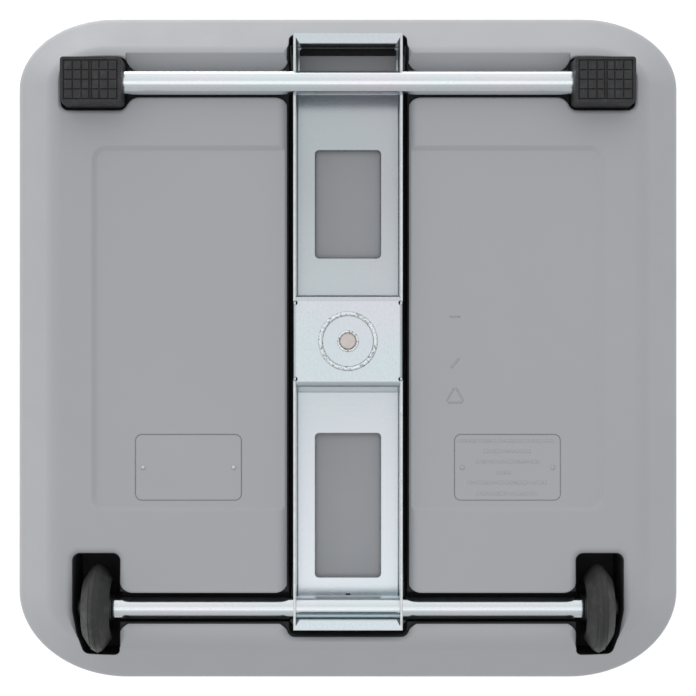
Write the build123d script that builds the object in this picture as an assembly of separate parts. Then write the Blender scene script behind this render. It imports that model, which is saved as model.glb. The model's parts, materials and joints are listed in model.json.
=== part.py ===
from build123d import *
import os
from math import cos, radians, sin

# Digital floor scale for a bathroom: a moulded platform carried on one central load cell,
# over a steel frame with two rubber feet in front and two small wheels behind.
# Units are millimetres. The origin is on the floor under the platform's centre: +X to the
# user's right, +Y away from the user (the display and wheel side), +Z up.

# ---- platform ---------------------------------------------------------------------------
HALF = 200.0                    # half of the square platform
FRONT_CORNER = (58.0, 43.0)     # radii of the front corners along X and Y
REAR_CORNER = (66.0, 53.0)      # radii of the rear corners along X and Y
UNDER_Z = 17.0                  # flat underside of the bottom shell
RIM_WIDTH = 25.0                # how far the sloping rim reaches in from the outline
RIM_Z = 44.0                    # height where the rim reaches the full outline
SPLIT_Z = 54.0                  # parting line between bottom shell and deck
SPLIT_GAP = 0.5                 # shadow gap at the parting line
DECK_Z = 68.0                   # top face of the deck
WALL = 3.0                      # moulded wall thickness
LIP = 1.6                       # thickness of the deck's locating lip
TOP_ROUND = 7.0                 # rounding of the deck's edge

# ---- frame ------------------------------------------------------------------------------
SHEET = 1.5                     # sheet thickness of the channel
EDGE_Z = 13.0                   # lower edges of the channel's walls
WEB_Z = 44.0                    # upper face of the channel's web
CHANNEL_HALF = 32.2             # half width of the channel
CHANNEL_Y = (-185.5, 166.2)     # lower edges of the channel's end walls
END_LEAN = 2.4                  # how much the end walls lean in towards the web
BEND = 2.5                      # outside bend radius
WELL_Y = (-31.4, 22.6)          # lower ends of the well's cross walls
WELL_TOP_Y = (-31.0, 27.0)      # where they meet the web
WELL_BEND = 4.0
PAD_Z = 13.4                    # lower face of the well's floor
NOTCH_Y = (-26.6, 18.3)         # relief notches at the corners of the well's floor
NOTCH_R = 1.3
WINDOW_HALF = 19.5              # half width of the two windows
WINDOW_R = 2.0
WINDOWS_Y = ((-119.4, -54.7), (52.0, 138.7))
WINDOW_EDGE = 0.6               # chamfer around the windows, below
DRAIN_Y = 149.3                 # small slot in the web in front of the axle
DRAIN = (2.8, 1.3)
RETURN = (6.4, 1.8)             # turned-in lower edges of the end walls: depth, thickness
RETURN_HALF = 28.6              # half length of their inner edges
GRIP_Y = (-181.4, -153.0)       # opening in the web behind the front end wall

FRONT_TUBE_Y = -156.0
FRONT_TUBE_Z = 13.0
FRONT_TUBE_R = 7.0
AXLE_Y = 154.8
AXLE_TUBE_R = 7.0
AXLE_TUBE_END = 139.2
TUBE_WALL = 1.3
AXLE_R = 4.0
WASHER_R = 7.5                  # also the bosses at the middle of the wheels
RUNNING_GAP = 0.05              # radial gap between the wheels and the axle rod

WHEEL_R = 26.5                  # also the height of the axle
WHEEL_X = 148.6
WHEEL_WIDTH = 16.6
CROWN = 9.2                     # steepness of the tread's flanks
CROWN_ROUND = 5.0               # and how widely its nose is rounded
RIB = 0.3                       # height of the thin ribs around the tread
RIB_AT = (-3.0, 0.0, 3.0)
TYRE_BORE = 16.5
SIDE_GAP = 0.4                  # end play beside a wheel

FOOT_X = 149.7
SOLE = (35.3, 26.6)             # size of a rubber foot where it meets the floor
FOOT = (35.6, 27.6)             # size of a rubber foot around the tube
FOOT_TOP = 22.5
GROOVE = 0.36                   # half width of the grooves in a foot's sole
SEAM = 0.7                      # its middle groove is a pair, this far from the middle

# ---- load cell --------------------------------------------------------------------------
CELL_Y = -4.0                   # centre of the load cell
BOSS_R = 17.6
SPIGOT_R = 14.9
BOSS_TOP = 22.0
STUD_R = 4.75
CELL_R = 24.0
CELL_BORE = 12.0
COLUMN_R = 9.0
PLATE_Z = (50.0, 53.0)          # load plate between the cell and the shell
CELL_BOLT_RING = 18.2

# ---- pockets in the underside: x range, y range, ceiling ----------------------------------
CHANNEL_POCKET = ((-35.3, 35.3), (-187.6, 170.4), 47.0)
FRONT_POCKET = ((-150.0, 150.0), (-164.2, -148.2), 24.0)
AXLE_POCKET = ((-150.0, 150.0), (144.8, 162.9), 36.0)
FOOT_POCKET = ((131.4, 169.6), (-171.6, -141.0), 27.0)
WHEEL_POCKET = ((135.4, 162.6), (122.0, 182.8), 56.0)
WHEEL_POCKET_CUT = (4.6, 27.8)  # how much its outer rear corner is cut off along X and Y
FRONT_SLOPE = ((-177.0, -162.6), 24.5)  # the underside rises gently to the front tube
MOUTH_Z = 24.0                  # depth to which all the pockets share one rounded outline
INNER_ROUND = 8.0               # plan rounding where pockets meet
CORNER_ROUND = 4.0              # plan rounding of the pockets' own corners
MOUTH_ROUND = 1.2               # rounding of the pockets' mouths
CHANNEL_FLARE = 6.6             # wider rounding beside the channel
REAR_FLARE = 4.6                # behind the axle and around the wheels
FOOT_FLARE = 3.0                # around the feet

# ---- shallow panels and plates on the underside -------------------------------------------
PANEL_X = 151.5
PANEL_Y = (-119.6, 96.6)
PANEL_Z = 18.7
PANEL_R = 8.5
PANEL_SLOPE = 2.8               # width of the sloping step around a panel
PLATE_X = 94.4
PLATE_Y = 70.7
PLATE_SIZE = (62.4, 38.6)
PLATE_R = 3.6
PLATE_GAP = 0.12
PLATE_EDGE = 0.55               # chamfers that make a soft groove around a plate
PIP_X = 26.8                    # fixings of a plate, from its centre
PIP_R = 1.5
PIP_HEIGHT = 0.8
BAY = (49.6, 27.0)              # battery bay above the left plate
BAY_Z = (20.4, 33.5)
BATTERY_LENGTH = 44.5           # AAA battery
BATTERY_R = 5.2

# ---- display console ----------------------------------------------------------------------
BEZEL_X = 95.0
BEZEL_Y = (94.0, 160.0)
BEZEL_Z = (66.2, 68.6)
SCREEN_X = 56.0
SCREEN_Y = (116.0, 152.0)
LCD_LOW = 64.0                  # underside of the display glass
BOARD_Z = (58.6, 60.2)
BUTTON_Y = 104.0
BUTTON_SPACING = 46.0
BUTTON_SIZE = (26.0, 8.4)
BUTTON_GAP = 0.4
MAT_INSET = 14.0
MAT_REAR = 84.0
MAT_Z = (67.2, 69.2)
MAT_PITCH = 13.0


def box(x, y, z):
    """A box from three (low, high) ranges."""
    size = (x[1] - x[0], y[1] - y[0], z[1] - z[0])
    centre = ((x[0] + x[1]) / 2, (y[0] + y[1]) / 2, (z[0] + z[1]) / 2)
    return Pos(*centre) * Box(*size)


def rounded_box(x, y, z, radius):
    """A box whose upright edges are rounded."""
    return fillet(box(x, y, z).edges().filter_by(Axis.Z), radius)


def cylinder(radius, z, x=0.0, y=0.0):
    """An upright cylinder over a height range."""
    return Pos(x, y, (z[0] + z[1]) / 2) * Cylinder(radius, z[1] - z[0])


def rod(radius, x, y, z):
    """A cylinder lying along X over a range of x."""
    return Pos((x[0] + x[1]) / 2, y, z) * Rot(0, 90, 0) * Cylinder(radius, x[1] - x[0])


def about(centre, half):
    """The range that reaches half to each side of a centre."""
    return (centre - half, centre + half)


def flipped(x):
    """The same range on the other side of the centre line."""
    return (-x[1], -x[0])


def joined(shapes):
    """All the shapes fused into one."""
    total = shapes[0]
    for shape in shapes[1:]:
        total = total + shape
    return total


# ---- shells -------------------------------------------------------------------------------

def outline(inset=0.0):
    """The platform's plan, drawn in by inset: straight sides and elliptical corners."""
    half = HALF - inset
    front_x, front_y = (r - inset for r in FRONT_CORNER)
    rear_x, rear_y = (r - inset for r in REAR_CORNER)
    corners = [
        (half - front_x, front_y - half, front_x, front_y, 270),
        (half - rear_x, half - rear_y, rear_x, rear_y, 0),
        (rear_x - half, half - rear_y, rear_x, rear_y, 90),
        (front_x - half, front_y - half, front_x, front_y, 180),
    ]
    arcs = [EllipticalCenterArc((x, y), a, b, start, arc_size=90) for x, y, a, b, start in corners]
    sides = [Line(arcs[i] @ 1, arcs[(i + 1) % 4] @ 0) for i in range(4)]
    return make_face(Curve() + arcs + sides)


def prism(face, z):
    """A plan face extruded over a height range."""
    return Pos(0, 0, z[0]) * extrude(face, z[1] - z[0])


def rim_body(inset, low_z, high_z):
    """A sloping rim that rises to the outline, and a straight band above it."""
    low = Pos(0, 0, low_z) * outline(inset + RIM_WIDTH)
    high = Pos(0, 0, RIM_Z) * outline(inset)
    return loft([low, high], ruled=True) + prism(outline(inset), (RIM_Z, high_z))


def soft_rim_body(high_z):
    """The shell's outer form, with the rim blended into the underside and into the band."""
    body = rim_body(0, UNDER_Z, high_z)
    body = fillet(body.edges().filter_by_position(Axis.Z, UNDER_Z - 0.1, UNDER_Z + 0.1), 14)
    return fillet(body.edges().filter_by_position(Axis.Z, RIM_Z - 0.1, RIM_Z + 0.1), 12)


def rectangle(x, y):
    """A plan rectangle from two (low, high) ranges."""
    return Pos((x[0] + x[1]) / 2, (y[0] + y[1]) / 2) * Rectangle(x[1] - x[0], y[1] - y[0])


def wheel_pocket_plan(sign):
    """The plan of a wheel's pocket, with its outer rear corner cut off."""
    (x0, x1), (y0, y1), ceiling = WHEEL_POCKET
    cut_x, cut_y = WHEEL_POCKET_CUT
    points = [(x0, y0), (x1, y0), (x1, y1 - cut_y), (x1 - cut_x, y1), (x0, y1)]
    return make_face(Polyline(*[(sign * x, y) for x, y in points], close=True))


def pocket_plans():
    """Every pocket of the underside, as (plan, ceiling)."""
    plans = [(rectangle(x, y), z) for x, y, z in (CHANNEL_POCKET, FRONT_POCKET, AXLE_POCKET)]
    for sign in (-1, 1):
        x = FOOT_POCKET[0] if sign > 0 else flipped(FOOT_POCKET[0])
        plans.append((rectangle(x, FOOT_POCKET[1]), FOOT_POCKET[2]))
        plans.append((wheel_pocket_plan(sign), WHEEL_POCKET[2]))
    return plans


def mouth_plan():
    """The shared outline of the pockets, rounded inside and out."""
    plan = joined([plan for plan, ceiling in pocket_plans()])
    grown = offset(plan, INNER_ROUND, kind=Kind.ARC)
    shrunk = offset(grown, -INNER_ROUND - CORNER_ROUND, kind=Kind.ARC)
    return offset(shrunk, CORNER_ROUND, kind=Kind.ARC).face()


def pocket_space(grow=0.0):
    """The room inside the pockets, or with grow the form of the walls around them."""
    mouth = mouth_plan()
    if grow:
        mouth = offset(mouth, grow, kind=Kind.ARC).face()
    space = prism(mouth, (0, MOUTH_Z + grow))
    for plan, ceiling in pocket_plans():
        if ceiling > MOUTH_Z:
            plan = fillet(plan.vertices(), CORNER_ROUND)
            if grow:
                plan = offset(plan, grow, kind=Kind.ARC)
            space = space + prism(plan, (MOUTH_Z - 1, ceiling + grow))
    return space


def front_slope(grow=0.0):
    """A long wedge that opens the front tube's pocket towards the front edge."""
    (low_y, high_y), high_z = FRONT_SLOPE
    points = [
        (low_y - grow, UNDER_Z - 0.1),
        (low_y - grow, UNDER_Z + grow),
        (high_y, high_z + grow),
        (high_y, UNDER_Z - 0.1),
    ]
    side = Plane.YZ * make_face(Polyline(*points, close=True))
    return extrude(side, FOOT_POCKET[0][0], both=True)


def flared(plan, radius):
    """The space of a pocket's mouth, rounded outwards by radius all around."""
    form = prism(offset(plan, radius + 2, kind=Kind.ARC).face(), (UNDER_Z, MOUTH_Z))
    walls = form - prism(plan, (0, MOUTH_Z + 1))
    mouth = walls.faces().sort_by(Axis.Z)[0].inner_wires()[0].edges()
    return form - walls.solid().fillet(radius, mouth)


def flares():
    """The wider roundings of the channel's, the axle's, the wheels' and the feet's pockets."""
    channel = rectangle(CHANNEL_POCKET[0], CHANNEL_POCKET[1])
    behind = rectangle(AXLE_POCKET[0], (AXLE_Y, AXLE_POCKET[1][1]))
    plans = [(channel, CHANNEL_FLARE), (behind, REAR_FLARE)]
    for sign in (-1, 1):
        x = FOOT_POCKET[0] if sign > 0 else flipped(FOOT_POCKET[0])
        plans.append((rectangle(x, FOOT_POCKET[1]), FOOT_FLARE))
        plans.append((wheel_pocket_plan(sign), REAR_FLARE))
    return [flared(fillet(plan.vertices(), CORNER_ROUND), radius) for plan, radius in plans]


def pocketed_block(high_z):
    """A plain block with the pockets cut into its underside, their mouths softly rounded."""
    block = box((-HALF, HALF), (-HALF, HALF), (UNDER_Z, high_z))
    block = block - prism(mouth_plan(), (0, MOUTH_Z))
    under = block.faces().sort_by(Axis.Z)[0]
    mouth = under.inner_wires()[0].edges()
    block = block.fillet(MOUTH_ROUND, mouth) - pocket_space()
    for flare in flares():
        block = block - flare
    return block


def panel(sign):
    """A shallow recess with a sloping step, open towards the channel's pocket."""
    layers = []
    for inset, z in ((0, UNDER_Z), (PANEL_SLOPE, PANEL_Z)):
        x = (CHANNEL_POCKET[0][1] - 10 + inset, PANEL_X - inset)
        x = x if sign > 0 else flipped(x)
        y = (PANEL_Y[0] + inset, PANEL_Y[1] - inset)
        plan = rectangle(x, y)
        layers.append(Pos(0, 0, z) * fillet(plan.vertices(), PANEL_R - inset))
    return loft(layers)


def plate_recess(sign, depth):
    """The shallow seat of a plate on the underside."""
    size = [s / 2 + PLATE_GAP for s in PLATE_SIZE]
    x = about(sign * PLATE_X, size[0])
    y = about(PLATE_Y, size[1])
    seat = rounded_box(x, y, (UNDER_Z, PANEL_Z + depth), PLATE_R + PLATE_GAP)
    low = Pos(0, 0, PANEL_Z - 0.01) * seat.faces().sort_by(Axis.Z)[0].moved(Pos(0, 0, -UNDER_Z))
    wide = offset(low, PLATE_EDGE, kind=Kind.ARC)
    return seat + loft([wide.face(), Pos(0, 0, PLATE_EDGE) * low])


def pip_places(sign):
    """The two fixings of a plate."""
    return [(sign * PLATE_X + side * PIP_X, PLATE_Y) for side in (-1, 1)]


def load_bolt_places():
    """Where the load plate is screwed to the bottom shell."""
    return [(side * 50.0, y) for side in (-1, 1) for y in (-84.0, -4.0, 76.0)]


def bottom_shell():
    tall = WHEEL_POCKET[2] + WALL
    shell = pocketed_block(tall) & soft_rim_body(tall)
    shell = shell - front_slope()
    shell = shell - panel(-1) - panel(1)
    cavity = rim_body(WALL, UNDER_Z + WALL, tall + 1) - pocket_space(WALL) - front_slope(WALL)
    for sign, top in ((-1, BAY_Z[1] + WALL), (1, UNDER_Z + 6)):
        x = about(sign * PLATE_X, PLATE_SIZE[0] / 2 + WALL)
        y = about(PLATE_Y, PLATE_SIZE[1] / 2 + WALL)
        cavity = cavity - box(x, y, (0, top))
    for x, y in load_bolt_places():
        cavity = cavity - cylinder(6.0, (0, PLATE_Z[0]), x, y)
    shell = shell - cavity
    shell = shell - prism(outline(-1) - outline(WALL), (SPLIT_Z, tall + 1))
    shell = shell - cylinder(CELL_R + 2.5, (40, tall), y=CELL_Y)
    for x, y in load_bolt_places():
        shell = shell - cylinder(2.1, (32, 60), x, y)
    shell = shell - plate_recess(-1, 2.2) - plate_recess(1, 0.9)
    bay_x, bay_y = about(-PLATE_X, BAY[0] / 2), about(PLATE_Y, BAY[1] / 2)
    shell = shell - rounded_box(bay_x, bay_y, (BAY_Z[0] - 1, BAY_Z[1]), 1.5)
    for sign in (-1, 1):
        for x, y in pip_places(sign):
            shell = shell - cylinder(1.1, (0, UNDER_Z + 5.5), x, y)
    return shell


def deck_ribs():
    """Ribs under the deck that stand on the load plate, parted in the middle for the cable."""
    ribs = []
    for y in (-66.0, -42.0, 34.0, 58.0):
        for x in ((10.0, 56.0), (-56.0, -10.0)):
            ribs.append(box(x, about(y, 1.2), (PLATE_Z[1], DECK_Z - WALL + 0.5)))
    return ribs


def top_shell():
    deck = prism(outline(), (SPLIT_Z + SPLIT_GAP, DECK_Z))
    deck = fillet(deck.edges().filter_by_position(Axis.Z, DECK_Z - 0.1, DECK_Z + 0.1), TOP_ROUND)
    deck = deck - prism(outline(WALL), (SPLIT_Z - 1, DECK_Z - WALL))
    lip = prism(outline(WALL + 0.1) - outline(WALL + LIP), (SPLIT_Z - 4, SPLIT_Z + 6))
    roof = prism(outline(WALL - 0.5) - outline(WALL + LIP), (SPLIT_Z + 2, SPLIT_Z + 6))
    deck = joined([deck, lip, roof] + deck_ribs())
    deck = deck - prism(mat_plan(0.2), (MAT_Z[0], DECK_Z + 1))
    x = (-BEZEL_X - 0.2, BEZEL_X + 0.2)
    y = (BEZEL_Y[0] - 0.2, BEZEL_Y[1] + 0.2)
    deck = deck - rounded_box(x, y, (BEZEL_Z[0], DECK_Z + 1), 9.2)
    x = (-BEZEL_X + 6, BEZEL_X - 6)
    y = (BEZEL_Y[0] + 3, BEZEL_Y[1] - 3)
    return deck - rounded_box(x, y, (DECK_Z - WALL - 1, DECK_Z), 5)


def mat_plan(grow=0.0):
    """The anti-slip mat's plan: the platform's outline cut off in front of the display."""
    rear = Pos(0, MAT_REAR + grow - 250) * Rectangle(500, 500)
    plan = outline(MAT_INSET - grow) & rear
    corners = plan.vertices().sort_by(Axis.Y)[-2:]
    return fillet(corners, 6)


def mat():
    body = prism(mat_plan(), MAT_Z)
    rows = int((HALF - MAT_INSET + MAT_REAR) / MAT_PITCH)
    for row in range(1, rows + 1):
        y = MAT_REAR - row * MAT_PITCH + MAT_PITCH / 2
        body = body - box((-HALF, HALF), about(y, 1.0), (MAT_Z[1] - 0.7, MAT_Z[1] + 1))
    return body


# ---- plates on the underside --------------------------------------------------------------

def under_plate(sign, thickness):
    """A thin plate lying in its seat, flush with the shallow panel."""
    x = about(sign * PLATE_X, PLATE_SIZE[0] / 2)
    y = about(PLATE_Y, PLATE_SIZE[1] / 2)
    plate = rounded_box(x, y, (PANEL_Z, PANEL_Z + thickness), PLATE_R)
    edge = plate.edges().filter_by_position(Axis.Z, PANEL_Z - 0.01, PANEL_Z + 0.01)
    return fillet(edge, PLATE_EDGE)


def battery_cover():
    cover = under_plate(-1, 2.0)
    for x, y in pip_places(-1):
        cover = cover - cylinder(1.1, (0, 30), x, y)
    return cover


def rating_plate():
    plate = under_plate(1, 0.8)
    for x, y in pip_places(1):
        plate = plate - cylinder(1.1, (0, 30), x, y)
    return plate


def fixing(x, y, top):
    """A small domed fixing whose head lies on a plate, with its shank pointing up."""
    ball_r = (PIP_R**2 + PIP_HEIGHT**2) / (2 * PIP_HEIGHT)
    ball = Pos(x, y, PANEL_Z - PIP_HEIGHT + ball_r) * Sphere(ball_r)
    head = ball & box(about(x, 5), about(y, 5), (PANEL_Z - 5, PANEL_Z))
    return head + cylinder(1.1, (PANEL_Z - 0.05, top), x, y)


def cover_screws():
    return [fixing(x, y, UNDER_Z + 5.4) for x, y in pip_places(-1)]


def plate_rivets():
    return [fixing(x, y, UNDER_Z + 5.0) for x, y in pip_places(1)]


# ---- batteries ----------------------------------------------------------------------------

def battery_rows():
    """Each battery as the y of its axis and the way its positive end points."""
    return [(PLATE_Y - BATTERY_R - 0.8, -1), (PLATE_Y + BATTERY_R + 0.8, 1)]


def batteries():
    z = BAY_Z[0] + BATTERY_R + 0.6
    nub = 1.0
    half = BATTERY_LENGTH / 2
    cells = []
    for y, sign in battery_rows():
        ends = sorted((-PLATE_X - sign * half, -PLATE_X + sign * (half - nub)))
        tip = sorted((-PLATE_X, -PLATE_X + sign * half))
        cells.append(rod(BATTERY_R, ends, y, z) + rod(1.9, tip, y, z))
    return cells


def battery_contacts():
    """Sprung contacts at both ends of the battery bay."""
    z = BAY_Z[0] + BATTERY_R + 0.6
    contacts = []
    for side in (-1, 1):
        wall = -PLATE_X + side * BAY[0] / 2
        face = wall - side * 0.5
        touch = -PLATE_X + side * BATTERY_LENGTH / 2
        for y, sign in battery_rows():
            strip = box(sorted((wall, face)), about(y, 4.5), (z - 4.5, z + 4.5))
            contacts.append(strip + rod(1.6, sorted((wall, touch)), y, z))
    return contacts


# ---- load path ----------------------------------------------------------------------------

def load_plate():
    plate = rounded_box((-58, 58), (-94, 86), PLATE_Z, 8)
    for x, y in load_bolt_places():
        plate = plate - cylinder(2.1, (40, 60), x, y)
    for x, y in cell_bolt_places():
        plate = plate - cylinder(2.5, (40, 60), x, y)
    return plate - cylinder(8, (40, 60), y=CELL_Y)


def cell_bolt_places():
    """Where the load plate is screwed to the load cell's ring."""
    turns = [radians(60 * i) for i in range(6)]
    return [(CELL_BOLT_RING * cos(a), CELL_Y + CELL_BOLT_RING * sin(a)) for a in turns]


def pan_screw(x, y, low, shank_r, head_r, head_h):
    """A pan-head screw pointing down from the load plate's upper face."""
    top = PLATE_Z[1] + head_h
    head = cylinder(head_r, (PLATE_Z[1], top), x, y)
    head = fillet(head.edges().filter_by_position(Axis.Z, top - 0.01, top + 0.01), 1.0)
    return head + cylinder(shank_r, (low, PLATE_Z[1]), x, y)


def cell_screws():
    return [pan_screw(x, y, 42, 2.5, 4.4, 3.0) for x, y in cell_bolt_places()]


def plate_screws():
    return [pan_screw(x, y, 34, 2.1, 4.2, 2.6) for x, y in load_bolt_places()]


def spokes(width, z, reach):
    """Three radial arms of the load cell."""
    arms = []
    for i in range(3):
        arm = box((COLUMN_R - 1, reach), about(0, width / 2), z)
        arms.append(Pos(0, CELL_Y, 0) * Rot(0, 0, 30 + 120 * i) * arm)
    return joined(arms)


def load_cell_core():
    """The load cell's fixed part: a column on a flange, with three measuring arms."""
    core = cylinder(15, (BOSS_TOP, 27), y=CELL_Y) + cylinder(COLUMN_R, (26, 41), y=CELL_Y)
    return core + spokes(6.0, (33, 38), 20.0) - cylinder(STUD_R, (10, 35), y=CELL_Y)


def load_cell_ring():
    """The load cell's moving ring, with room around each arm for the ring's travel."""
    ring = cylinder(CELL_R, (29, PLATE_Z[0]), y=CELL_Y) - cylinder(CELL_BORE, (20, 60), y=CELL_Y)
    ring = ring - spokes(7.4, (32.4, 39.8), 21.2)
    for x, y in cell_bolt_places():
        ring = ring - cylinder(2.5, (42, 60), x, y)
    return ring


def cell_cable():
    """The cable from the load cell up through the load plate and back to the board."""
    run_z = PLATE_Z[1] + 2.0
    points = [
        (CELL_BORE - 1.0, CELL_Y, 45.5),
        (0, CELL_Y, 45.5),
        (0, CELL_Y, run_z),
        (0, 106, run_z),
        (0, 106, BOARD_Z[0]),
    ]
    path = FilletPolyline(*points, radius=2.4)
    profile = Plane(origin=path @ 0, z_dir=path % 0) * Circle(1.2)
    return sweep(profile, path=path)


# ---- frame --------------------------------------------------------------------------------

def channel_form(inset, low_z):
    """The channel's folded form with leaning end walls, drawn in by inset on every side."""
    top_z = WEB_Z - inset
    lean = END_LEAN / (WEB_Z - EDGE_Z)
    low, high = CHANNEL_Y[0] + inset, CHANNEL_Y[1] - inset
    points = [
        (low + lean * (low_z - EDGE_Z), low_z),
        (high - lean * (low_z - EDGE_Z), low_z),
        (high - lean * (top_z - EDGE_Z), top_z),
        (low + lean * (top_z - EDGE_Z), top_z),
    ]
    side = Plane.YZ * make_face(Polyline(*points, close=True))
    form = extrude(side, CHANNEL_HALF - inset, both=True)
    return fillet(form.edges().filter_by_position(Axis.Z, top_z - 0.01, top_z + 0.01), BEND - inset)


def well_form(half, inset, top_z):
    """The well as a solid across the channel, drawn in by inset at its floor and cross walls."""
    points = [
        (WELL_Y[0] + inset, PAD_Z + inset),
        (WELL_Y[1] - inset, PAD_Z + inset),
        (WELL_TOP_Y[1] - inset, top_z),
        (WELL_TOP_Y[0] + inset, top_z),
    ]
    form = extrude(Plane.YZ * make_face(Polyline(*points, close=True)), half, both=True)
    floor = form.edges().filter_by(Axis.X).sort_by(Axis.Z)[:2]
    return fillet(floor, WELL_BEND - inset)


def pad_edges():
    """Between the notches, the side walls turn into the pad with a tight bend."""
    z = (PAD_Z, PAD_Z + 5)
    outer = box((-CHANNEL_HALF, CHANNEL_HALF), NOTCH_Y, z)
    outer = fillet(outer.edges().filter_by(Axis.Y).sort_by(Axis.Z)[:2], BEND - 0.5)
    inner = box((SHEET - CHANNEL_HALF, CHANNEL_HALF - SHEET), (-60, 60), (PAD_Z + SHEET, 30))
    return outer - fillet(inner.edges().filter_by(Axis.Y).sort_by(Axis.Z)[:2], BEND - 2.0)


def window(y):
    """A rectangular cut through the web, with a small chamfer around it below."""
    x = (-WINDOW_HALF, WINDOW_HALF)
    low = WEB_Z - SHEET
    cut = rounded_box(x, y, (low, WEB_Z + 1), WINDOW_R)
    lower = cut.faces().sort_by(Axis.Z)[0]
    wide = offset(lower, WINDOW_EDGE, kind=Kind.ARC)
    return cut + loft([Pos(0, 0, -0.01) * wide.face(), Pos(0, 0, WINDOW_EDGE) * lower])


def end_lip(outer_y, inner_y):
    """The turned-in lower edge of an end wall, mitred towards the side walls."""
    points = [
        (-CHANNEL_HALF, outer_y),
        (CHANNEL_HALF, outer_y),
        (RETURN_HALF, inner_y),
        (-RETURN_HALF, inner_y),
    ]
    lip = prism(make_face(Polyline(*points, close=True)), (EDGE_Z, EDGE_Z + RETURN[1]))
    inner = lip.edges().filter_by(Axis.X).filter_by_position(Axis.Y, inner_y - 0.1, inner_y + 0.1)
    return fillet(inner, 0.7)


def frame_channel():
    """Folded and zinc-plated channel: web, four walls, two windows and the central well."""
    channel = channel_form(0, EDGE_Z) - channel_form(SHEET, EDGE_Z - 6)
    inner = CHANNEL_HALF - SHEET
    well = well_form(inner, 0, WEB_Z) - well_form(2 * inner, SHEET, WEB_Z + 1)
    mouth = (WELL_TOP_Y[0] + SHEET, WELL_TOP_Y[1] - SHEET)
    channel = channel - box((-inner, inner), mouth, (WEB_Z - 3, WEB_Z + 1)) + well
    channel = channel - box((-60, 60), NOTCH_Y, (0, PAD_Z + 3)) + pad_edges()
    for y in WINDOWS_Y:
        channel = channel - window(y)
    grip = inner - 1.5
    channel = channel - rounded_box((-grip, grip), GRIP_Y, (38, 50), 2)
    drain = Pos(0, DRAIN_Y) * SlotOverall(*DRAIN)
    channel = channel - prism(drain, (38, 50))
    channel = channel + end_lip(CHANNEL_Y[0], CHANNEL_Y[0] + RETURN[0])
    channel = channel + end_lip(CHANNEL_Y[1], CHANNEL_Y[1] - RETURN[0])
    for side in (-1, 1):
        for y in NOTCH_Y:
            channel = channel - cylinder(NOTCH_R, (5, 20), side * (inner + 0.3), y)
    channel = channel - cylinder(SPIGOT_R, (5, 20), y=CELL_Y)
    channel = channel - rod(FRONT_TUBE_R, (-60, 60), FRONT_TUBE_Y, FRONT_TUBE_Z)
    return channel - rod(AXLE_TUBE_R, (-60, 60), AXLE_Y, WHEEL_R)


def centre_boss():
    """Turned disc let into the pad, with a step that seats on it."""
    boss = cylinder(SPIGOT_R, (PAD_Z - 0.3, BOSS_TOP), y=CELL_Y)
    boss = boss + cylinder(BOSS_R, (PAD_Z + SHEET, BOSS_TOP), y=CELL_Y)
    return boss - cylinder(STUD_R, (5, 40), y=CELL_Y)


def centre_stud():
    stud = cylinder(STUD_R, (PAD_Z - 1.7, 34.5), y=CELL_Y)
    return chamfer(stud.edges().filter_by_position(Axis.Z, 0, PAD_Z), 0.6)


def weld_ring(inner_r, outer_r, low_z, high_z):
    """A round weld bead lying against a face above it."""
    middle = (inner_r + outer_r) / 2
    arc = ThreePointArc((inner_r, 0, high_z), (middle, 0, low_z), (outer_r, 0, high_z))
    section = make_face(Curve() + [arc, Line((outer_r, 0, high_z), (inner_r, 0, high_z))])
    return Pos(0, CELL_Y, 0) * revolve(section, Axis.Z)


def centre_welds():
    ring = weld_ring(SPIGOT_R, BOSS_R, PAD_Z - 1.2, PAD_Z)
    return [ring, weld_ring(STUD_R, STUD_R + 1.7, PAD_Z - 1.2, PAD_Z - 0.3)]


def front_tube():
    end = FOOT_X + SOLE[0] / 2 - 3.0
    tube = rod(FRONT_TUBE_R, (-end, end), FRONT_TUBE_Y, FRONT_TUBE_Z)
    return tube - rod(FRONT_TUBE_R - TUBE_WALL, (-200, 200), FRONT_TUBE_Y, FRONT_TUBE_Z)


def foot(x):
    """A rubber ferrule over the tube's end, with a studded sole."""
    sole = Pos(x, FRONT_TUBE_Y, 0) * RectangleRounded(SOLE[0], SOLE[1], 1.8)
    waist = Pos(x, FRONT_TUBE_Y, 7) * RectangleRounded(FOOT[0], FOOT[1], 2.4)
    body = loft([sole, waist]) + Pos(0, 0, 7) * extrude(waist.moved(Pos(0, 0, -7)), FOOT_TOP - 7)
    body = fillet(body.edges().filter_by_position(Axis.Z, FOOT_TOP - 0.1, FOOT_TOP + 0.1), 2.0)
    body = body - foot_tread(x)
    inner = (x - 40, x + SOLE[0] / 2 - 3.0) if x > 0 else (x - SOLE[0] / 2 + 3.0, x + 40)
    return body - rod(FRONT_TUBE_R, inner, FRONT_TUBE_Y, FRONT_TUBE_Z)


def foot_tread(x):
    """Crossed grooves in the sole, leaving six by four studs inside a plain border."""
    columns, rows = 6, 4
    half_x, half_y = SOLE[0] / 2 - 2.1, SOLE[1] / 2 - 2.1
    grooves = []
    for i in range(columns + 1):
        seams = (-SEAM, SEAM) if i == columns // 2 else (0,)
        for shift in seams:
            at = x - half_x + 2 * half_x * i / columns + shift
            length = about(FRONT_TUBE_Y, half_y + GROOVE)
            grooves.append(box(about(at, GROOVE), length, (-1, 1.0)))
    for i in range(rows + 1):
        at = FRONT_TUBE_Y - half_y + 2 * half_y * i / rows
        grooves.append(box(about(x, half_x + GROOVE), about(at, GROOVE), (-1, 1.0)))
    return joined(grooves)


def axle_tube():
    tube = rod(AXLE_TUBE_R, (-AXLE_TUBE_END, AXLE_TUBE_END), AXLE_Y, WHEEL_R)
    return tube - rod(AXLE_TUBE_R - TUBE_WALL, (-200, 200), AXLE_Y, WHEEL_R)


def wheel_sides():
    """The inner and outer faces of the right wheel."""
    return about(WHEEL_X, WHEEL_WIDTH / 2)


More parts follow.
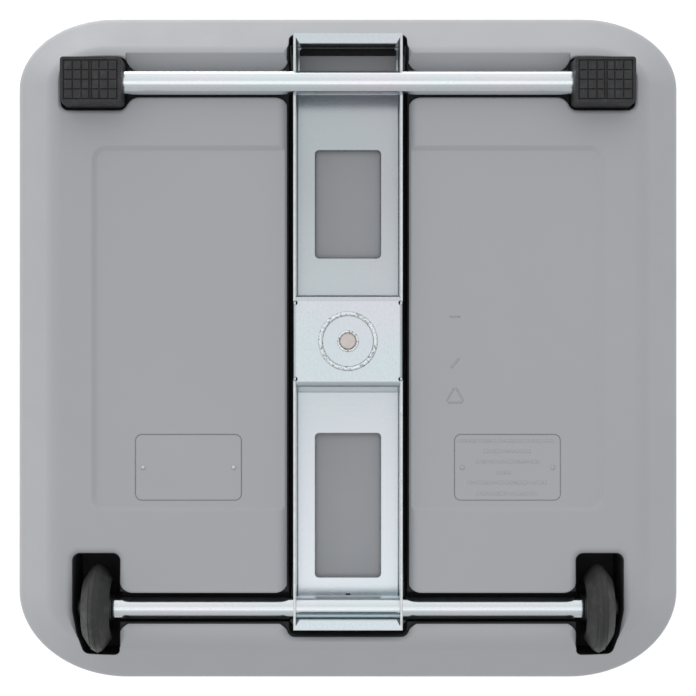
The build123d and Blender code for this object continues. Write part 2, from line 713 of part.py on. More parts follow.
def axle_rod():
    end = wheel_sides()[1] + SIDE_GAP + 2.0
    return rod(AXLE_R, (-end, end), AXLE_Y, WHEEL_R)


def axle_washers():
    """A washer between each end of the tube and its wheel."""
    x = (AXLE_TUBE_END, wheel_sides()[0] - SIDE_GAP)
    washers = []
    for span in (x, flipped(x)):
        washers.append(rod(WASHER_R, span, AXLE_Y, WHEEL_R) - rod(AXLE_R, span, AXLE_Y, WHEEL_R))
    return washers


def axle_caps():
    """A push-on cap over each end of the axle rod."""
    low = wheel_sides()[1] + SIDE_GAP
    caps = []
    for sign in (1, -1):
        span = (low, low + 3.4) if sign > 0 else (-low - 3.4, -low)
        cap = rod(5.4, span, AXLE_Y, WHEEL_R)
        outer = cap.edges().sort_by(Axis.X)[-1 if sign > 0 else 0]
        cap = fillet(outer, 1.6)
        hole = (low - 1, low + 2.0) if sign > 0 else (-low - 2.0, -low + 1)
        caps.append(cap - rod(AXLE_R, hole, AXLE_Y, WHEEL_R))
    return caps


def turned(points, x):
    """A ring with the given (x, radius) section, centred on the axle at x."""
    section = make_face(Polyline(*points, close=True))
    return Pos(x, AXLE_Y, WHEEL_R) * revolve(section, Axis.X)


def crown(at):
    """The radius of the tyre's pointed tread at a distance from its middle."""
    return WHEEL_R - RIB - CROWN * ((1 + (at / CROWN_ROUND) ** 2) ** 0.5 - 1)


def tyre(x):
    """A rubber tyre with a pointed, round-nosed tread and three thin ribs around it."""
    half = WHEEL_WIDTH / 2
    steps = [half * i / 6 for i in range(-6, 7)]
    tread = Spline(*[(at, crown(at)) for at in steps])
    lines = Polyline((half, crown(half)), (half, TYRE_BORE), (-half, TYRE_BORE), (-half, crown(half)))
    ring = revolve(make_face(Curve() + [tread, lines]), Axis.X)
    for at in RIB_AT:
        top = crown(at) + RIB
        ring = ring + revolve(Pos(at, top - 1) * Rectangle(0.5, 2), Axis.X)
    return Pos(x, AXLE_Y, WHEEL_R) * ring


def hub(x):
    """A plastic wheel centre, dished on both sides."""
    half = WHEEL_WIDTH / 2
    bore = AXLE_R + RUNNING_GAP
    points = [
        (-half, bore), (-half, WASHER_R), (-half + 3, 8.5), (-half + 3, 13.0), (-half + 0.5, 14.5),
        (-half + 0.5, TYRE_BORE), (half - 0.5, TYRE_BORE), (half - 0.5, 14.5),
        (half - 3, 13.0), (half - 3, 8.5), (half, WASHER_R), (half, bore),
    ]
    return turned(points, x)


def front_stop_pad():
    """A rubber strip under the pocket's ceiling, over the front end of the channel."""
    half = CHANNEL_HALF + 2.0
    ceiling = CHANNEL_POCKET[2]
    return rounded_box((-half, half), (-187.0, -177.6), (ceiling - 1.8, ceiling), 1.5)


# ---- display console ----------------------------------------------------------------------

def button_xs():
    """The x of the three buttons."""
    return [i * BUTTON_SPACING for i in (-1, 0, 1)]


def slot(x, y, size, z):
    """An upright prism with fully rounded ends."""
    return Pos(x, y, z[0]) * extrude(SlotOverall(size[0], size[1]), z[1] - z[0])


def display_bezel():
    bezel = rounded_box((-BEZEL_X, BEZEL_X), BEZEL_Y, BEZEL_Z, 9)
    rim = bezel.edges().filter_by_position(Axis.Z, BEZEL_Z[1] - 0.01, BEZEL_Z[1] + 0.01)
    bezel = fillet(rim, 0.8)
    bezel = bezel - rounded_box((-SCREEN_X, SCREEN_X), SCREEN_Y, (60, 70), 2)
    seat_y = (SCREEN_Y[0] - 2.0, SCREEN_Y[1] + 2.0)
    seat_z = (BEZEL_Z[1] - 1.2, 70)
    bezel = bezel - rounded_box((-SCREEN_X - 2, SCREEN_X + 2), seat_y, seat_z, 3)
    gap = 2 * BUTTON_GAP
    for x in button_xs():
        hole = (BUTTON_SIZE[0] + gap, BUTTON_SIZE[1] + gap)
        bezel = bezel - slot(x, BUTTON_Y, hole, (60, 70))
    for x in (-72.0, 72.0):
        for y in (BUTTON_Y, 148.0):
            bezel = bezel + cylinder(2.6, (BOARD_Z[1], BEZEL_Z[0] + 0.1), x, y)
    return bezel


def display_window():
    y = (SCREEN_Y[0] - 1.8, SCREEN_Y[1] + 1.8)
    z = (BEZEL_Z[1] - 1.2, BEZEL_Z[1] - 0.1)
    return rounded_box((-SCREEN_X - 1.8, SCREEN_X + 1.8), y, z, 2.8)


def lcd_panel():
    y = (SCREEN_Y[0] + 0.4, SCREEN_Y[1] - 0.4)
    return rounded_box((-SCREEN_X + 0.4, SCREEN_X - 0.4), y, (LCD_LOW, BEZEL_Z[1] - 1.4), 1.8)


def lcd_connectors():
    """Two rubber strips that join the display glass to the board."""
    x = (-SCREEN_X + 6, SCREEN_X - 6)
    rows = (SCREEN_Y[0] + 3, SCREEN_Y[1] - 3)
    return [box(x, about(y, 1.2), (BOARD_Z[1], LCD_LOW)) for y in rows]


def main_board():
    return rounded_box((-78, 78), (97.5, 154.0), BOARD_Z, 2)


def button_switches():
    """A small push switch on the board under each button."""
    switches = []
    for x in button_xs():
        body = box(about(x, 3.0), about(BUTTON_Y, 3.0), (BOARD_Z[1], BOARD_Z[1] + 1.6))
        switches.append(body + cylinder(1.6, (BOARD_Z[1] + 1.6, BOARD_Z[1] + 2.1), x, BUTTON_Y))
    return switches


def button(x):
    """A long button with a retaining flange below the bezel and a stem over its switch."""
    top = BEZEL_Z[1] + 0.4
    cap = slot(x, BUTTON_Y, BUTTON_SIZE, (BEZEL_Z[0] - 1.0, top))
    cap = fillet(cap.edges().filter_by_position(Axis.Z, top - 0.01, top + 0.01), 0.6)
    flange = (BUTTON_SIZE[0] + 3.0, BUTTON_SIZE[1] + 3.0)
    cap = cap + slot(x, BUTTON_Y, flange, (BEZEL_Z[0] - 1.4, BEZEL_Z[0] - 0.4))
    return cap + cylinder(1.8, (BOARD_Z[1] + 3.3, BEZEL_Z[0] - 1.2), x, BUTTON_Y)


def parts():
    """Every node of the assembly."""
    left, middle, right = button_xs()
    return {
        "bottom_shell": bottom_shell(),
        "top_shell": top_shell(),
        "anti_slip_mat": mat(),
        "battery_cover": battery_cover(),
        "cover_screws": Compound(cover_screws()),
        "rating_plate": rating_plate(),
        "plate_rivets": Compound(plate_rivets()),
        "batteries": Compound(batteries()),
        "battery_contacts": Compound(battery_contacts()),
        "load_plate": load_plate(),
        "load_cell_ring": load_cell_ring(),
        "cell_screws": Compound(cell_screws()),
        "plate_screws": Compound(plate_screws()),
        "cell_cable": cell_cable(),
        "front_stop_pad": front_stop_pad(),
        "display_bezel": display_bezel(),
        "display_window": display_window(),
        "lcd_panel": lcd_panel(),
        "lcd_connectors": Compound(lcd_connectors()),
        "main_board": main_board(),
        "button_switches": Compound(button_switches()),
        "button_left": button(left),
        "button_middle": button(middle),
        "button_right": button(right),
        "frame_channel": frame_channel(),
        "centre_boss": centre_boss(),
        "centre_stud": centre_stud(),
        "centre_welds": Compound(centre_welds()),
        "load_cell_core": load_cell_core(),
        "front_tube": front_tube(),
        "foot_left": foot(-FOOT_X),
        "foot_right": foot(FOOT_X),
        "axle_tube": axle_tube(),
        "axle_rod": axle_rod(),
        "axle_washers": Compound(axle_washers()),
        "axle_caps": Compound(axle_caps()),
        "wheel_hub_left": hub(-WHEEL_X),
        "wheel_tyre_left": tyre(-WHEEL_X),
        "wheel_hub_right": hub(WHEEL_X),
        "wheel_tyre_right": tyre(WHEEL_X),
    }


os.makedirs("parts", exist_ok=True)
for node, shape in parts().items():
    export_step(shape, f"parts/{node}.step")
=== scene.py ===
import json
import math
import random

import bmesh
import bpy
from mathutils import Matrix, Vector


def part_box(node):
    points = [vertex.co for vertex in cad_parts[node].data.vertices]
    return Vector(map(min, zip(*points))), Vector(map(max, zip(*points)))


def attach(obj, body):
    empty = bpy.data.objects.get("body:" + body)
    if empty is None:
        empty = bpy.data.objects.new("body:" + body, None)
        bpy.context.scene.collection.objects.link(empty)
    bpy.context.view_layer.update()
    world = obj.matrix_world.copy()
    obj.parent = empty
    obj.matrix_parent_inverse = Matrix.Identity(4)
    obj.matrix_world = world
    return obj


# The digital bathroom scale seen as in its photograph: straight at the underside, with the
# front (rubber feet) at the top of the picture. Metres throughout, in the row frame.

CAMERA_DISTANCE = 0.980      # below the floor plane
LENS = 87.3                  # mm
SENSOR = 36.0                # mm, its width
POCKET_MARGIN = 0.009        # the pockets reach this far around the parts that they hold
MOUTH_TOP = 0.0185           # the rounded mouths of the pockets begin below this height
END_LIP = 0.0064             # depth of the turned-in lips at the channel's ends
PAINTED_SHADE_Z = (0.024, 0.042)      # the channel's plating is painted darker over these heights: painted shade in its recess
PAINTED_SHADE_Y = (-0.10, 0.14)       # the painted shade is darkest at the first of these, at the front; towards the second the plating is painted lighter than its own colour
WORLD_BELOW = 0.76           # radiance of the studio below the horizon
WORLD_ABOVE = 1.12           # and above it
HORIZON = (-0.15, 0.25)      # heights of a unit direction between which the one turns into the other
ROOM_SLOPE = (-0.16, -0.30)  # it is brighter to the left and in front
WORLD_NADIR = 0.34           # extra light from straight below, around the camera
NADIR_SLOPE = (0.0, 0.8)     # more of it from behind the camera's axis
NADIR = (-0.985, -0.88)      # heights of a unit direction between which it fades out
RELIEF = 0.00020             # height of moulded marks
RELIEF_ROWS = (              # marks on the rating plate: place and length as shares of the plate
    (0.09, 0.48, 0.92),
    (0.25, 0.50, 0.45),
    (0.41, 0.50, 0.59),
    (0.58, 0.46, 0.12),
    (0.73, 0.49, 0.74),
    (0.90, 0.50, 0.58),
)
MARK_LINE_X = 0.0633         # a row of three mould marks on the right-hand panel
MARKS_Y = (-0.0186, 0.0089, 0.029)
TRIANGLE = (0.0032, 0.0085)  # the last mark: its inner radius and the length of its sides

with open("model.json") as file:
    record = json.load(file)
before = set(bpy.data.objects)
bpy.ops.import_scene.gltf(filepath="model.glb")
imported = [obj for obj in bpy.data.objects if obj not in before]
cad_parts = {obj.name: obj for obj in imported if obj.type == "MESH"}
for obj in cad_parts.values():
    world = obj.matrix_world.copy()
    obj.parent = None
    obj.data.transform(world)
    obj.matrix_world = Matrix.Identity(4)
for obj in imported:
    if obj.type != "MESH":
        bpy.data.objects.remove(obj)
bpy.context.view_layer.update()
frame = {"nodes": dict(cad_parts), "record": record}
nodes = frame["nodes"]


# ---- shader helpers -----------------------------------------------------------------------

def share(colour, part):
    """A colour made darker or lighter."""
    return tuple(c * part for c in colour)


class Shader:
    """A principled material with a few procedural helpers around it."""

    def __init__(self, name, colour, roughness, metallic=0.0):
        self.material = bpy.data.materials.new(name)
        self.material.use_nodes = True
        self.tree = self.material.node_tree
        self.surface = self.tree.nodes["Principled BSDF"]
        self.colour = colour
        self.roughness = roughness
        self.set("Base Color", (*colour, 1))
        self.set("Roughness", roughness)
        self.set("Metallic", metallic)
        self.coords = self.tree.nodes.new("ShaderNodeTexCoord").outputs["Object"]
        self.normal = None

    def set(self, socket, value):
        self.surface.inputs[socket].default_value = value

    def link(self, output, socket):
        self.tree.links.new(output, socket)

    def stretched(self, scale):
        """Object coordinates scaled differently along each axis."""
        mapping = self.tree.nodes.new("ShaderNodeMapping")
        mapping.inputs["Scale"].default_value = scale
        self.link(self.coords, mapping.inputs["Vector"])
        return mapping.outputs["Vector"]

    def along(self, axis):
        """One of the object coordinates."""
        split = self.tree.nodes.new("ShaderNodeSeparateXYZ")
        self.link(self.coords, split.inputs["Vector"])
        return split.outputs[axis]

    def noise(self, scale, detail=3.0, rough=0.55, vector=None):
        node = self.tree.nodes.new("ShaderNodeTexNoise")
        node.inputs["Scale"].default_value = scale
        node.inputs["Detail"].default_value = detail
        node.inputs["Roughness"].default_value = rough
        self.link(vector or self.coords, node.inputs["Vector"])
        return node.outputs["Fac"]

    def ramp(self, value, low, high, from_low=0.3, from_high=0.7):
        """A value mapped from one range onto another."""
        node = self.tree.nodes.new("ShaderNodeMapRange")
        node.inputs["From Min"].default_value = from_low
        node.inputs["From Max"].default_value = from_high
        node.inputs["To Min"].default_value = low
        node.inputs["To Max"].default_value = high
        self.link(value, node.inputs["Value"])
        return node.outputs["Result"]

    def mix(self, factor, first, second):
        """Colour from first to second by factor; each is a colour or a socket."""
        node = self.tree.nodes.new("ShaderNodeMix")
        node.data_type = "RGBA"
        self.link(factor, node.inputs["Factor"])
        for socket, value in (("A", first), ("B", second)):
            target = [i for i in node.inputs if i.name == socket and i.type == "RGBA"][0]
            if isinstance(value, tuple):
                target.default_value = (*value, 1)
            else:
                self.link(value, target)
        return [o for o in node.outputs if o.type == "RGBA"][0]

    def vary_colour(self, factor, darker, lighter):
        """The base colour between a darker and a lighter share of itself."""
        mixed = self.mix(factor, share(self.colour, darker), share(self.colour, lighter))
        self.link(mixed, self.surface.inputs["Base Color"])

    def vary_roughness(self, value, spread):
        result = self.ramp(value, self.roughness - spread, self.roughness + spread)
        self.link(result, self.surface.inputs["Roughness"])

    def bump(self, height, distance, strength=1.0):
        """Adds a bump on top of the earlier ones."""
        node = self.tree.nodes.new("ShaderNodeBump")
        node.inputs["Distance"].default_value = distance
        node.inputs["Strength"].default_value = strength
        self.link(height, node.inputs["Height"])
        if self.normal:
            self.link(self.normal, node.inputs["Normal"])
        self.normal = node.outputs["Normal"]
        self.link(self.normal, self.surface.inputs["Normal"])

    def soft_edges(self, radius):
        """Edges shaded as if rounded by radius."""
        node = self.tree.nodes.new("ShaderNodeBevel")
        node.samples = 6
        node.inputs["Radius"].default_value = radius
        self.normal = node.outputs["Normal"]
        self.link(self.normal, self.surface.inputs["Normal"])


def moulded_plastic(name, colour, roughness=0.5, edge=0.0008):
    """Grained injection-moulded plastic with faint flow marks and scuffs."""
    s = Shader(name, colour, roughness)
    s.soft_edges(edge)
    s.vary_colour(s.noise(9.0, 4.0), 0.97, 1.03)
    s.vary_roughness(s.noise(60.0, 3.0), 0.06)
    s.bump(s.noise(2200.0, 2.0), 0.00004, 0.5)
    s.bump(s.noise(14.0, 2.0), 0.0006, 0.25)
    s.set("Specular IOR Level", 0.4)
    return s.material


def rubber(name, colour, roughness=0.62, dust=1.9):
    """Matt black rubber, lighter by the dust factor in small patches."""
    s = Shader(name, colour, roughness)
    s.soft_edges(0.0004)
    dusty = s.ramp(s.noise(120.0, 5.0, 0.7), 0.0, 1.0, 0.52, 0.8)
    s.vary_colour(dusty, 0.9, dust)
    s.vary_roughness(s.noise(300.0), 0.1)
    s.bump(s.noise(1500.0, 3.0), 0.00008, 0.6)
    s.set("Specular IOR Level", 0.35)
    return s.material


def zinc(name, colour, roughness=0.2, along=(40, 6, 40), deep=False):
    """Bright zinc plating: faintly iridescent, drawn along the sheet and lightly scratched.
    With deep, its colour is painted darker above the painted-shade heights, as painted shade in the
    recess, darkest towards the front and painted lighter towards the rear."""
    s = Shader(name, colour, roughness, metallic=1.0)
    s.soft_edges(0.0006)
    green = tuple(c * k for c, k in zip(colour, (0.95, 1.0, 1.0)))
    pink = tuple(c * k for c, k in zip(colour, (1.03, 0.98, 1.01)))
    tint = s.mix(s.ramp(s.noise(13.0, 2.0), 0.0, 1.0, 0.38, 0.62), green, pink)
    drawn = s.noise(90.0, 4.0, 0.6, s.stretched(along))
    streaked = s.mix(s.ramp(drawn, 0.0, 0.35, 0.45, 0.75), tint, share(colour, 0.7))
    spots = s.ramp(s.noise(420.0, 4.0, 0.6), 0.0, 0.5, 0.68, 0.8)
    stains_and_painted_shade = s.mix(spots, streaked, share(colour, 0.5))
    # painted shade: darker higher in the channel and towards the front, painted lighter towards the
    # rear
    if deep:
        along_y = s.ramp(s.along("Y"), 0.0, 1.0, *PAINTED_SHADE_Y)
        painted_shade = s.mix(along_y, share(colour, 0.52), share(colour, 1.12))
        stains_and_painted_shade = s.mix(s.ramp(s.along("Z"), 0.0, 0.6, *PAINTED_SHADE_Z), stains_and_painted_shade, painted_shade)
    s.link(stains_and_painted_shade, s.surface.inputs["Base Color"])
    s.vary_roughness(drawn, 0.07)
    s.bump(drawn, 0.00002, 0.35)
    s.bump(s.noise(30.0, 1.0), 0.0002, 0.3)
    return s.material


def sheared_edge_with_highlight(name, colour):
    """The sheared edge of the plated sheet: rougher than its faces, and painted lighter than them as
    a painted highlight along the edge.
    """
    s = Shader(name, colour, 0.34, metallic=1.0)
    s.soft_edges(0.0007)
    s.vary_colour(s.noise(220.0, 3.0), 0.8, 1.15)
    s.vary_roughness(s.noise(500.0), 0.1)
    s.bump(s.noise(700.0, 2.0, 0.5, s.stretched((1, 0.15, 1))), 0.00006, 0.6)
    return s.material


def weld_bead(name, colour):
    """A rough, bubbly weld under the plating."""
    s = Shader(name, colour, 0.3, metallic=1.0)
    bubbles = s.noise(700.0, 3.0, 0.6)
    s.vary_colour(s.ramp(bubbles, 0.0, 1.0, 0.36, 0.5), 0.45, 1.22)
    s.vary_roughness(s.noise(300.0), 0.1)
    s.bump(bubbles, 0.0006, 0.9)
    return s.material


def painted_pocket_shade(name):
    """Near-black painted shade for the faces far inside the pockets, where the real shell lies in
    shadow.
    """
    s = Shader(name, (0.045, 0.045, 0.046), 0.7)
    s.vary_colour(s.noise(50.0), 0.8, 1.3)
    s.vary_roughness(s.noise(120.0), 0.1)
    s.bump(s.noise(1800.0, 2.0), 0.00004, 0.5)
    s.set("Specular IOR Level", 0.15)
    return s.material


def plain_metal(name, colour, roughness):
    s = Shader(name, colour, roughness, metallic=1.0)
    s.soft_edges(0.0003)
    s.vary_colour(s.noise(150.0, 4.0), 0.9, 1.06)
    s.vary_roughness(s.noise(400.0), 0.08)
    s.bump(s.noise(900.0, 3.0), 0.00003, 0.5)
    return s.material


def gloss_plastic(name, colour, roughness=0.12):
    s = Shader(name, colour, roughness)
    s.soft_edges(0.0003)
    s.vary_colour(s.noise(40.0), 0.96, 1.04)
    s.vary_roughness(s.noise(90.0, 5.0), 0.04)
    s.bump(s.noise(500.0), 0.00001, 0.3)
    return s.material


def clear_window(name):
    s = Shader(name, (0.9, 0.93, 0.95), 0.03)
    s.set("Transmission Weight", 1.0)
    s.set("IOR", 1.45)
    s.vary_roughness(s.noise(60.0, 4.0), 0.02)
    return s.material


def make_materials():
    """One material for every slot of the record."""
    grey = (0.441, 0.450, 0.470)
    sheet = (0.63, 0.675, 0.70)
    tube = (0.81, 0.84, 0.86)
    return {
        "shell_plastic": moulded_plastic("shell_plastic", grey, 0.52, 0.0010),
        "deck_plastic": moulded_plastic("deck_plastic", grey, 0.5),
        "mat_rubber": rubber("mat_rubber", (0.045, 0.047, 0.05), 0.65, 1.15),
        "cover_plastic": moulded_plastic("cover_plastic", grey, 0.5, 0.0004),
        "plate_plastic": moulded_plastic("plate_plastic", grey, 0.5, 0.0004),
        "fixing_steel": plain_metal("fixing_steel", (0.62, 0.63, 0.65), 0.35),
        "battery_wrap": gloss_plastic("battery_wrap", (0.09, 0.1, 0.11), 0.3),
        "spring_steel": plain_metal("spring_steel", (0.75, 0.74, 0.7), 0.25),
        "plate_steel": zinc("plate_steel", (0.6, 0.63, 0.65), 0.32),
        "cell_aluminium": plain_metal("cell_aluminium", (0.78, 0.79, 0.8), 0.3),
        "cable_sheath": gloss_plastic("cable_sheath", (0.03, 0.03, 0.03), 0.35),
        "pad_rubber": rubber("pad_rubber", (0.012, 0.012, 0.012)),
        "bezel_plastic": gloss_plastic("bezel_plastic", (0.012, 0.012, 0.014), 0.14),
        "window_clear": clear_window("window_clear"),
        "lcd_film": gloss_plastic("lcd_film", (0.36, 0.41, 0.36), 0.35),
        "board_resist": gloss_plastic("board_resist", (0.01, 0.14, 0.06), 0.3),
        "button_plastic": moulded_plastic("button_plastic", (0.5, 0.51, 0.52), 0.4, 0.0004),
        # the channel's zinc carries painted shade in its recess
        "channel_zinc": zinc("channel_zinc", sheet, 0.22, deep=True),
        "tube_zinc": zinc("tube_zinc", tube, 0.15, (6, 60, 60)),
        "weld_zinc": weld_bead("weld_zinc", (0.74, 0.78, 0.79)),
        "stud_steel": plain_metal("stud_steel", (0.60, 0.55, 0.52), 0.34),
        "foot_rubber": rubber("foot_rubber", (0.039, 0.039, 0.041)),
        "tyre_rubber": rubber("tyre_rubber", (0.039, 0.039, 0.040), 0.5),
        "hub_plastic": moulded_plastic("hub_plastic", (0.02, 0.02, 0.021), 0.4, 0.0004),
    }


def dress(materials):
    """Every CAD node in its slot's material."""
    for row in frame["record"]["subparts"]:
        mesh = nodes[row["node"]].data
        mesh.materials.clear()
        mesh.materials.append(materials[row["material_slot"]])


def second_material(node, material, chosen):
    """Gives a node's faces another material where chosen(centre, normal) is true."""
    mesh = nodes[node].data
    mesh.materials.append(material)
    turn = nodes[node].matrix_world
    for face in mesh.polygons:
        if chosen(turn @ face.center, turn.to_3x3() @ face.normal):
            face.material_index = 1


def paint_pocket_shade():
    """The walls and ceilings of the shell's pockets are painted near-black above their mouths, as
    painted shade.
    """
    held = ["frame_channel", "front_tube", "axle_tube", "foot_left", "foot_right"]
    held += ["wheel_tyre_left", "wheel_tyre_right"]
    boxes = [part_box(node) for node in held]
    web_half = boxes[0][1][0]
    web_z = boxes[0][1][2]

    def inside(centre, box):
        low, high = box
        return all(low[i] - POCKET_MARGIN < centre[i] < high[i] + POCKET_MARGIN for i in (0, 1))

    def dark(centre, normal):
        if centre.z < MOUTH_TOP or -0.97 < normal.z < -0.5:
            return False
        over_web = abs(centre.x) < web_half and centre.z > web_z and normal.z < -0.5
        return not over_web and any(inside(centre, box) for box in boxes)

    # painted shade: the chosen pocket faces get a near-black material
    second_material("bottom_shell", painted_pocket_shade("pocket_painted_shade"), dark)


def highlight_sheared_edges():
    """The lower edges of the channel's side walls are cut and rough, and painted light as a painted
    highlight.
    """
    low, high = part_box("frame_channel")

    def lower_edge(centre, normal):
        between_lips = low[1] + END_LIP < centre.y < high[1] - END_LIP
        return between_lips and normal.z < -0.99 and centre.z < low[2] + 0.0002

    # painted highlight: the cut lower edges get a lighter, rougher zinc
    second_material("frame_channel", sheared_edge_with_highlight("sheared_zinc_highlight", (0.70, 0.73, 0.74)), lower_edge)


# ---- moulded and printed marks --------------------------------------------------------------

def bars(name, strokes, low_z, high_z, material, body):
    """Flat bars as one piece: each stroke is (x, y, length, width, angle)."""
    shape = bmesh.new()
    for x, y, length, width, angle in strokes:
        place = Matrix.Translation((x, y, (low_z + high_z) / 2)) @ Matrix.Rotation(angle, 4, "Z")
        size = Matrix.Diagonal((length, width, high_z - low_z, 1))
        bmesh.ops.create_cube(shape, size=1.0, matrix=place @ size)
    mesh = bpy.data.meshes.new(name)
    shape.to_mesh(mesh)
    shape.free()
    mesh.materials.append(material)
    piece = bpy.data.objects.new(name, mesh)
    bpy.context.collection.objects.link(piece)
    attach(piece, body)


def plate_relief(material):
    """Rows of short plain bars on the rating plate, in place of its moulded text."""
    low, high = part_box("rating_plate")
    width, depth = high[0] - low[0], high[1] - low[1]
    chance = random.Random(7)
    strokes = []
    for share_y, share_x, share_length in RELIEF_ROWS:
        x = low[0] + width * (share_x - share_length / 2)
        end = x + width * share_length
        y = low[1] + depth * share_y
        while x < end:
            length = min(chance.uniform(0.0008, 0.0026), end - x + 0.0004)
            strokes.append((x + length / 2, y, length, chance.uniform(0.0012, 0.002), 0))
            x += length + chance.uniform(0.0006, 0.0016)
    bars("plate_relief", strokes, low[2] - RELIEF, low[2] + RELIEF, material, "platform")


def panel_marks(material):
    """A dash, a slanted dash and a small triangle beside the channel."""
    low_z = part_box("rating_plate")[0][2]
    x = MARK_LINE_X
    dash_y, slant_y, triangle_y = MARKS_Y
    radius, side = TRIANGLE
    strokes = [(x, dash_y, 0.0060, 0.0008, 0), (x, slant_y, 0.0010, 0.0070, 0.7)]
    for i in range(3):
        turn = math.radians(90 + 120 * i)
        bar_x = x + radius * math.cos(turn)
        bar_y = triangle_y + radius * math.sin(turn)
        strokes.append((bar_x, bar_y, 0.0008, side, turn))
    bars("panel_marks", strokes, low_z - RELIEF, low_z + RELIEF, material, "platform")


def display_segments(material):
    """Faint seven-segment figures of the switched-off display."""
    low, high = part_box("lcd_panel")
    digits = 4
    tall = 0.6 * (high[1] - low[1])
    wide = 0.55 * tall
    line = 0.1 * tall
    pitch = 1.7 * wide
    middle_x = (low[0] + high[0]) / 2
    middle_y = (low[1] + high[1]) / 2
    strokes = []
    for i in range(digits):
        x = middle_x + pitch * (i - (digits - 1) / 2)
        for step in (-1, 0, 1):
            strokes.append((x, middle_y + step * tall / 2, wide - line, line, 0))
        for side in (-1, 1):
            for step in (-1, 1):
                y = middle_y + step * tall / 4
                strokes.append((x + side * wide / 2, y, line, tall / 2 - line, 0))
    bars("display_segments", strokes, high[2] - 0.00005, high[2] + 0.00003, material, "platform")


def button_signs(material):
    """A minus, a dot and a plus on the three buttons."""
    signs = {
        "button_left": [(0, 0, 0.006, 0.0011, 0)],
        "button_middle": [(0, 0, 0.0024, 0.0024, 0), (0, 0, 0.0024, 0.0024, math.pi / 4)],
        "button_right": [(0, 0, 0.006, 0.0011, 0), (0, 0, 0.0011, 0.006, 0)],
    }
    for button, sign in signs.items():
        low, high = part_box(button)
        x, y = (low[0] + high[0]) / 2, (low[1] + high[1]) / 2
        strokes = [(x + dx, y + dy, length, width, turn) for dx, dy, length, width, turn in sign]
        bars(button + "_sign", strokes, high[2] - 0.0002, high[2] + 0.00005, material, button)


def make_marks(materials):
    plate_relief(materials["plate_plastic"])
    panel_marks(materials["shell_plastic"])
    display_segments(gloss_plastic("segment_ink", (0.25, 0.29, 0.25), 0.4))
    button_signs(gloss_plastic("sign_ink", (0.06, 0.06, 0.065), 0.4))


# ---- stage --------------------------------------------------------------------------------

def one_sided(name, colour):
    """A pale surface seen from its front only; from behind it lets the view through."""
    material = bpy.data.materials.new(name)
    material.use_nodes = True
    tree = material.node_tree
    surface = tree.nodes["Principled BSDF"]
    surface.inputs["Base Color"].default_value = (*colour, 1)
    surface.inputs["Roughness"].default_value = 0.9
    clear = tree.nodes.new("ShaderNodeBsdfTransparent")
    mix = tree.nodes.new("ShaderNodeMixShader")
    side = tree.nodes.new("ShaderNodeNewGeometry").outputs["Backfacing"]
    tree.links.new(side, mix.inputs["Fac"])
    tree.links.new(surface.outputs["BSDF"], mix.inputs[1])
    tree.links.new(clear.outputs["BSDF"], mix.inputs[2])
    tree.links.new(mix.outputs["Shader"], tree.nodes["Material Output"].inputs["Surface"])
    return material


def make_floor():
    """The floor neither blocks nor reflects the light that falls on the object's underside."""
    bpy.ops.mesh.primitive_plane_add(size=30.0, location=(0, 0, 0))
    floor = bpy.context.object
    floor.name = "floor"
    floor.data.materials.append(one_sided("floor_pale", (0.78, 0.78, 0.78)))
    floor.visible_shadow = False
    floor.visible_diffuse = False
    floor.visible_glossy = False
    floor.visible_transmission = False


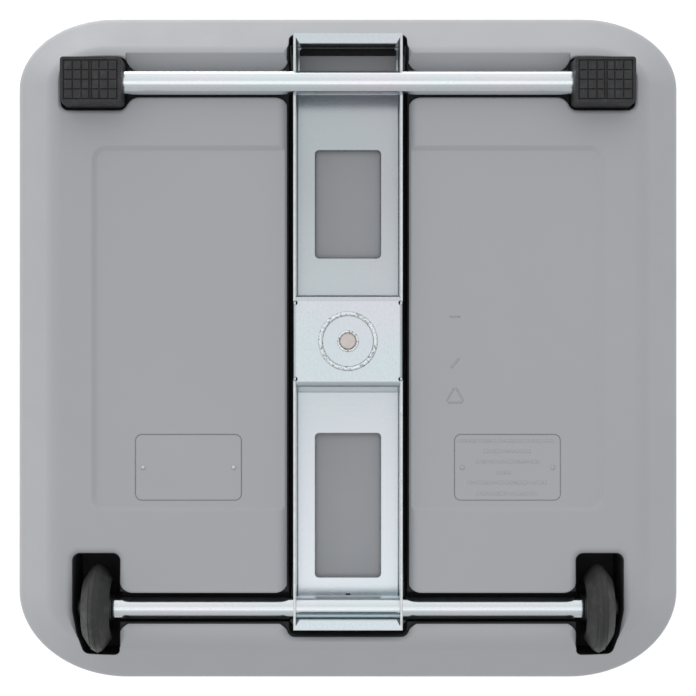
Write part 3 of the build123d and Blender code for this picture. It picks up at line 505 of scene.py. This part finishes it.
def make_world():
    """A white studio, darker below the horizon and behind, brighter around the camera."""
    world = bpy.data.worlds.new("studio")
    world.use_nodes = True
    tree = world.node_tree
    background = tree.nodes["Background"]
    direction = tree.nodes.new("ShaderNodeTexCoord").outputs["Generated"]
    split = tree.nodes.new("ShaderNodeSeparateXYZ")
    tree.links.new(direction, split.inputs["Vector"])

    def math_node(operation, first, second):
        node = tree.nodes.new("ShaderNodeMath")
        node.operation = operation
        for socket, value in zip(node.inputs, (first, second)):
            if isinstance(value, float):
                socket.default_value = value
            else:
                tree.links.new(value, socket)
        return node.outputs["Value"]

    def by_height(heights, low, high):
        """A level that changes smoothly from low to high between two heights."""
        node = tree.nodes.new("ShaderNodeMapRange")
        node.interpolation_type = "SMOOTHSTEP"
        node.inputs["From Min"].default_value = heights[0]
        node.inputs["From Max"].default_value = heights[1]
        node.inputs["To Min"].default_value = low
        node.inputs["To Max"].default_value = high
        tree.links.new(split.outputs["Z"], node.inputs["Value"])
        return node.outputs["Result"]

    def tilted(level, slope):
        """A level that rises or falls linearly along a horizontal direction."""
        dot = tree.nodes.new("ShaderNodeVectorMath")
        dot.operation = "DOT_PRODUCT"
        tree.links.new(direction, dot.inputs[0])
        dot.inputs[1].default_value = (*slope, 0.0)
        return math_node("ADD", dot.outputs["Value"], level)

    level = by_height(HORIZON, WORLD_BELOW, WORLD_ABOVE)
    room = math_node("MULTIPLY", level, tilted(1.0, ROOM_SLOPE))
    around_camera = by_height(NADIR, 1.0, 0.0)
    glow = math_node("MULTIPLY", around_camera, tilted(WORLD_NADIR, NADIR_SLOPE))
    tree.links.new(math_node("ADD", room, glow), background.inputs["Strength"])
    background.inputs["Color"].default_value = (0.985, 0.992, 1.0, 1)
    bpy.context.scene.world = world


def area_light(name, place, target, size, power):
    light = bpy.data.lights.new(name, "AREA")
    light.shape = "SQUARE"
    light.size = size
    light.energy = power
    holder = bpy.data.objects.new(name, light)
    holder.location = place
    direction = Vector(target) - Vector(place)
    holder.rotation_euler = direction.to_track_quat("-Z", "Y").to_euler()
    bpy.context.collection.objects.link(holder)


def make_lights():
    """Large soft lights from the front left, both above the platform."""
    area_light("front_key", (-0.7, -2.1, 0.9), (0, 0, 0.02), 1.2, 8)
    area_light("top_key", (-0.9, -1.0, 1.5), (0, 0, 0.05), 1.0, 4)


def make_camera():
    """Looks straight up at the underside, with the front edge at the top of the picture."""
    camera = bpy.data.cameras.new("camera")
    camera.lens = LENS
    camera.sensor_width = SENSOR
    camera.clip_start = 0.05
    camera.clip_end = 50.0
    holder = bpy.data.objects.new("camera", camera)
    holder.location = (0.0, 0.0, -CAMERA_DISTANCE)
    holder.rotation_euler = (math.pi, 0, 0)
    bpy.context.collection.objects.link(holder)
    bpy.context.scene.camera = holder


bpy.context.scene.view_settings.view_transform = "Standard"
materials = make_materials()
dress(materials)
# painted shade in the pockets
paint_pocket_shade()
# painted highlight on the channel's cut edges
highlight_sheared_edges()
make_marks(materials)
make_floor()
make_world()
make_lights()
make_camera()
